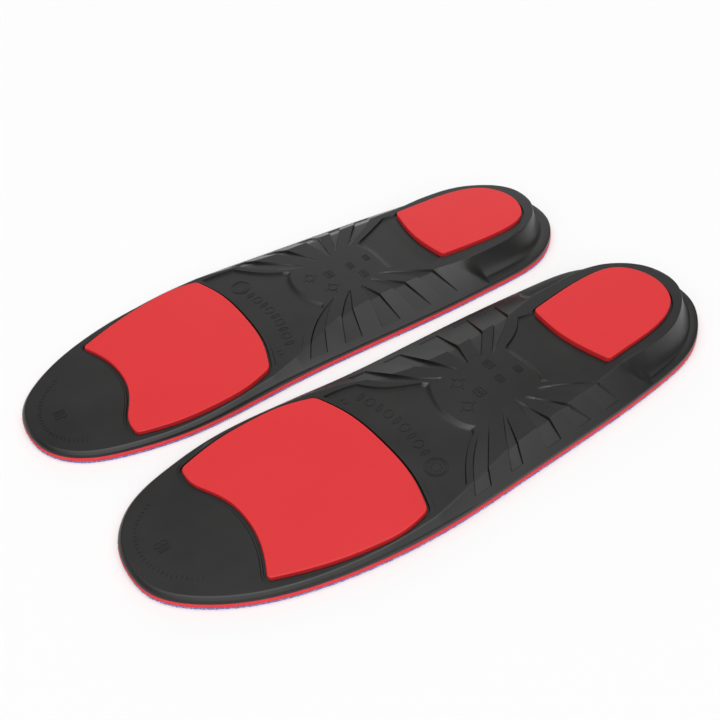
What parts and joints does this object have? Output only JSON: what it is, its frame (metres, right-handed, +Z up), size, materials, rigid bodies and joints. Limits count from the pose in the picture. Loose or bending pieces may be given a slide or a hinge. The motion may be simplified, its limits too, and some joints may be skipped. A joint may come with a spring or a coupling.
{
  "type": "cushioned insole pair",
  "caption": "Right and left cushioned sport insoles, sole side up: ribbed moulded shell, soft gel pads under forefoot and heel, thin foam layer and cloth top.",
  "frame": {"origin": "on the surface that the pair lies on, at the centre of the pair's footprint", "axes": "+Z up, out of the soles, because the insoles lie sole side up; +Y towards the toes, along the pair's centre line; +X towards the left insole. In a shoe, -Z is the foot's side"},
  "size_m": [0.1918, 0.2915, 0.0172],
  "materials": {
    "shell": "black moulded elastomer foam, matte with a soft sheen",
    "gel_pad": "red polyurethane gel, satin",
    "foam": "red closed-cell foam, matte cut edge",
    "cloth": "blue-grey brushed knit, fuzzy"
  },
  "bodies": {
    "right_insole": {"right_shell": "shell", "right_forefoot_pad": "gel_pad", "right_heel_pad": "gel_pad", "right_foam_layer": "foam", "right_top_cloth": "cloth"},
    "left_insole": {"left_shell": "shell", "left_forefoot_pad": "gel_pad", "left_heel_pad": "gel_pad", "left_foam_layer": "foam", "left_top_cloth": "cloth"}
  },
  "joints": [
    {"name": "left_insole_lift", "type": "slide", "parent": "right_insole", "child": "left_insole", "axis": [0, 0, 1], "range_m": [0, 0.06]}
  ]
}
